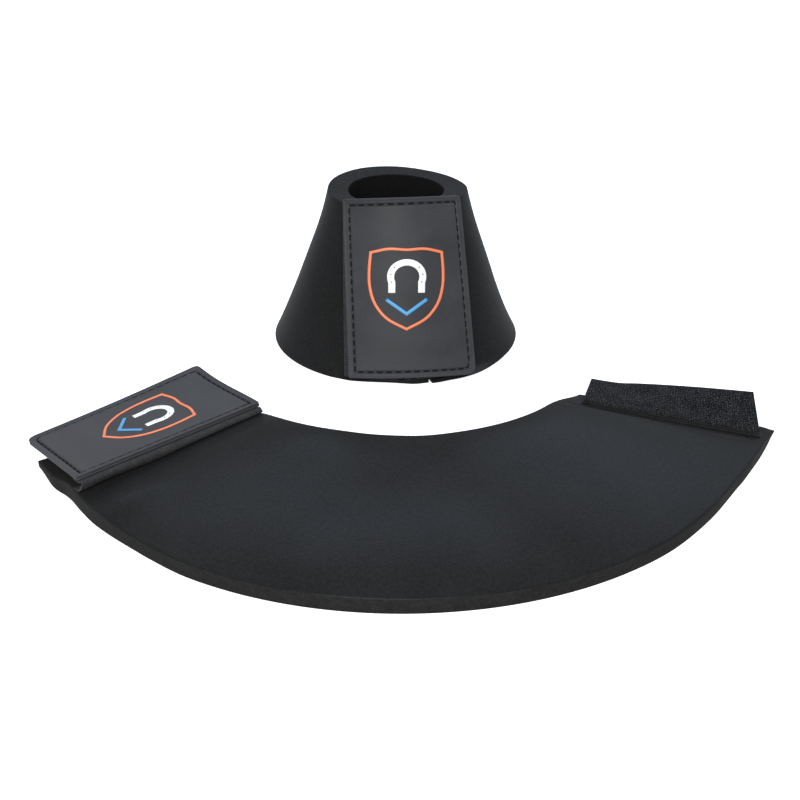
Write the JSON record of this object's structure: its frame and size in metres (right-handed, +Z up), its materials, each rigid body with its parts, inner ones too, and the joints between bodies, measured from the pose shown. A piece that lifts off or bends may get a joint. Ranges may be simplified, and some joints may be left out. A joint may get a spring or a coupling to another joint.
{
  "type": "over-reach boots",
  "caption": "Pair of black padded wrap-round over-reach boots for a horse, one closed and standing, one opened out flat in front with its closure panel folded over.",
  "frame": {"origin": "on the floor, under the middle of the pair's bounding box", "axes": "+X to the right along the pair's long side, +Y from the opened boot in front to the standing boot behind, +Z up"},
  "size_m": [0.4914, 0.4584, 0.1294],
  "materials": {
    "knit_cloth": "matte knit",
    "foam": "matte",
    "lining_cloth": "matte knit",
    "edge_binding": "matte",
    "moulded_panel": "satin",
    "webbing": "matte weave",
    "thread": "satin",
    "badge_orange": "satin",
    "badge_blue": "satin",
    "badge_white": "satin"
  },
  "bodies": {
    "shells": {"closed_bottom_edge_strip_left": "edge_binding", "closed_elastic_lower": "webbing", "closed_end_strip_left": "edge_binding", "closed_foam_core_left": "foam", "closed_inner_lining_left": "lining_cloth", "closed_outer_cover_left": "knit_cloth", "closed_top_edge_strip_left": "edge_binding", "open_bottom_edge_strip": "edge_binding", "open_elastic_lower": "webbing", "open_end_strip_left": "edge_binding", "open_end_strip_right": "edge_binding", "open_foam_core": "foam", "open_inner_lining": "lining_cloth", "open_outer_cover": "knit_cloth", "open_tab_turned_end": "webbing", "open_top_edge_strip": "edge_binding"},
    "closed_right_half": {"closed_bottom_edge_strip_right": "edge_binding", "closed_end_strip_right": "edge_binding", "closed_foam_core_right": "foam", "closed_inner_lining_right": "lining_cloth", "closed_outer_cover_right": "knit_cloth", "closed_tab_turned_end": "webbing", "closed_top_edge_strip_right": "edge_binding"},
    "closed_panel": {"closed_badge_chevron": "badge_blue", "closed_badge_horseshoe": "badge_white", "closed_badge_shield": "badge_orange", "closed_elastic_upper": "webbing", "closed_panel_backing": "knit_cloth", "closed_panel_cover": "moulded_panel", "closed_panel_hook_patch": "webbing", "closed_panel_stitching": "thread"},
    "closed_tab": {"closed_tab_hook_patch": "webbing", "closed_tab_loop_facing": "webbing", "closed_tab_stitching": "thread", "closed_tab_webbing": "webbing"},
    "open_panel": {"open_badge_chevron": "badge_blue", "open_badge_horseshoe": "badge_white", "open_badge_shield": "badge_orange", "open_elastic_upper": "webbing", "open_panel_backing": "knit_cloth", "open_panel_cover": "moulded_panel", "open_panel_hook_patch": "webbing", "open_panel_stitching": "thread"},
    "open_tab": {"open_tab_hook_patch": "webbing", "open_tab_loop_facing": "webbing", "open_tab_stitching": "thread", "open_tab_webbing": "webbing"}
  },
  "joints": [
    {"name": "closed_panel_peel", "type": "hinge", "parent": "shells", "child": "closed_panel", "pos_m": [-0.04519, 0.04318, 0.00453], "axis": [-0.0056, -0.4032, -0.9151], "range_deg": [0, 150]},
    {"name": "closed_shell_spread", "type": "hinge", "parent": "shells", "child": "closed_right_half", "pos_m": [-0.02983, 0.22631, 0], "axis": [0.0916, -0.3372, 0.937], "range_deg": [0, 37.5]},
    {"name": "closed_tab_lift", "type": "hinge", "parent": "closed_right_half", "child": "closed_tab", "pos_m": [0.0317, 0.0464, 0.00402], "axis": [-0.0919, 0.3418, 0.9353], "range_deg": [0, 67.5]},
    {"name": "open_panel_fold", "type": "hinge", "parent": "shells", "child": "open_panel", "pos_m": [-0.19285, -0.14244, 0.02595], "axis": [0.7953, 0.5962, 0.1098], "range_deg": [0, 165]},
    {"name": "open_tab_lift", "type": "hinge", "parent": "shells", "child": "open_tab", "pos_m": [0.22945, -0.05606, 0.01388], "axis": [0.9831, -0.0981, -0.1544], "range_deg": [-8, 110]}
  ],
  "couplings": [
    {"joint": "closed_shell_spread", "follows": "closed_panel_peel", "ratio": 0.25},
    {"joint": "closed_tab_lift", "follows": "closed_panel_peel", "ratio": 0.45}
  ]
}
